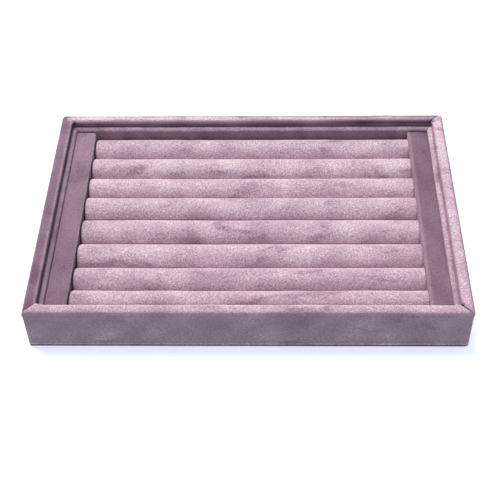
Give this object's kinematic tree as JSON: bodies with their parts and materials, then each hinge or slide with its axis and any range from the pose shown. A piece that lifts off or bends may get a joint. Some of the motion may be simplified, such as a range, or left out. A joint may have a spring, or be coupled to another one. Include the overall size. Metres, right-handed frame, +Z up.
{
  "type": "ring display tray",
  "caption": "Shallow velvet-covered tray with a raised rim and a bed of side-by-side padded rolls that grip finger rings in the grooves between them.",
  "frame": {"origin": "centre of the underside, on the surface that the tray stands on", "axes": "+X along the rolls, to the right as seen from the front; +Y from front to back; +Z up"},
  "size_m": [0.35, 0.24, 0.04],
  "materials": {
    "velvet": "short-pile mauve velvet with brushed marks",
    "foam": "open-cell foam under the cloth",
    "fibreboard": "plain fibreboard under the cloth",
    "card": "plain grey board under the cloth",
    "underside_felt": "thin dark felt glued under the base"
  },
  "bodies": {
    "root": {"base_panel": "fibreboard", "wall_front": "fibreboard", "wall_back": "fibreboard", "wall_left": "fibreboard", "wall_right": "fibreboard", "outer_wrap": "velvet", "underside_sheet": "underside_felt", "lining_card_front": "card", "lining_cover_front": "velvet", "lining_card_back": "card", "lining_cover_back": "velvet", "lining_card_left": "card", "lining_cover_left": "velvet", "lining_card_right": "card", "lining_cover_right": "velvet", "insert_board": "card", "bar_core_left": "fibreboard", "bar_cover_left": "velvet", "bar_core_right": "fibreboard", "bar_cover_right": "velvet", "roll_foam_1": "foam", "roll_cover_1": "velvet", "roll_foam_2": "foam", "roll_cover_2": "velvet", "roll_foam_3": "foam", "roll_cover_3": "velvet", "roll_foam_4": "foam", "roll_cover_4": "velvet", "roll_foam_5": "foam", "roll_cover_5": "velvet", "roll_foam_6": "foam", "roll_cover_6": "velvet", "roll_foam_7": "foam", "roll_cover_7": "velvet", "roll_foam_8": "foam", "roll_cover_8": "velvet"}
  },
  "joints": []
}
